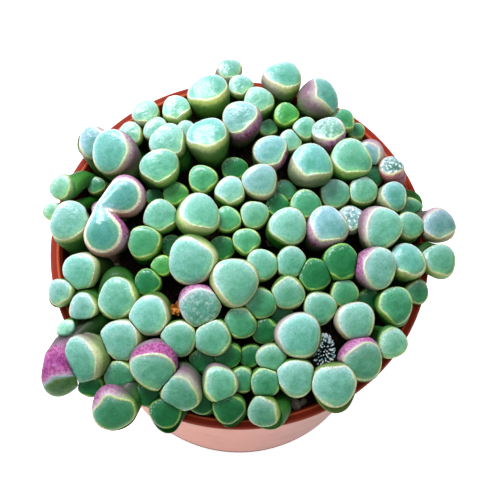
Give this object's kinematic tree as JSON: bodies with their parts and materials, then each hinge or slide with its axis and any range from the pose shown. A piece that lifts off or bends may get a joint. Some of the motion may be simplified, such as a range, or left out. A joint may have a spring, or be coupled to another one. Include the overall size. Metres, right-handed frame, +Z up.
{
  "type": "potted succulent",
  "caption": "Dense clump of club-shaped window-leaf succulent leaves filling a round tapered plastic nursery pot with a flanged lip.",
  "frame": {"origin": "centre of the pot's flat base, on the surface it stands on", "axes": "+Z up out of the pot; -Y towards the front of the picture; +X to its right"},
  "size_m": [0.1132, 0.1113, 0.0961],
  "materials": {
    "leaf_skin": "satin, living succulent skin with a clearer window on top",
    "soil": "matt, crumbly potting mix",
    "pot_plastic": "smooth terracotta-coloured plastic, satin",
    "dried_petals": "matt, dried plant matter",
    "spiky_leaves": "matt, frosted"
  },
  "bodies": {
    "root": {"rosette_01": "leaf_skin", "rosette_02": "leaf_skin", "rosette_03": "leaf_skin", "rosette_04": "leaf_skin", "rosette_05": "leaf_skin", "rosette_06": "leaf_skin", "rosette_07": "leaf_skin", "rosette_08": "leaf_skin", "rosette_09": "leaf_skin", "rosette_10": "leaf_skin", "rosette_11": "leaf_skin", "rosette_12": "leaf_skin", "rosette_13": "leaf_skin", "rosette_14": "leaf_skin", "rosette_15": "leaf_skin", "rosette_16": "leaf_skin", "rosette_17": "leaf_skin", "rosette_18": "leaf_skin", "rosette_19": "leaf_skin", "rosette_20": "leaf_skin", "rosette_21": "leaf_skin", "rosette_22": "leaf_skin", "rosette_23": "leaf_skin", "rosette_24": "leaf_skin", "rosette_25": "leaf_skin", "rosette_26": "leaf_skin", "rosette_27": "leaf_skin", "rosette_28": "leaf_skin", "rosette_29": "leaf_skin", "rosette_30": "leaf_skin", "rosette_31": "leaf_skin", "rosette_32": "leaf_skin", "rosette_33": "leaf_skin", "rosette_34": "leaf_skin", "rosette_35": "leaf_skin", "rosette_36": "leaf_skin", "rosette_37": "leaf_skin", "rosette_38": "leaf_skin", "rosette_39": "leaf_skin", "rosette_40": "leaf_skin", "rosette_41": "leaf_skin", "rosette_42": "leaf_skin", "rosette_43": "leaf_skin", "rosette_44": "leaf_skin", "dried_floret": "dried_petals", "spiky_cushion": "spiky_leaves", "soil": "soil", "pot": "pot_plastic"}
  },
  "joints": []
}
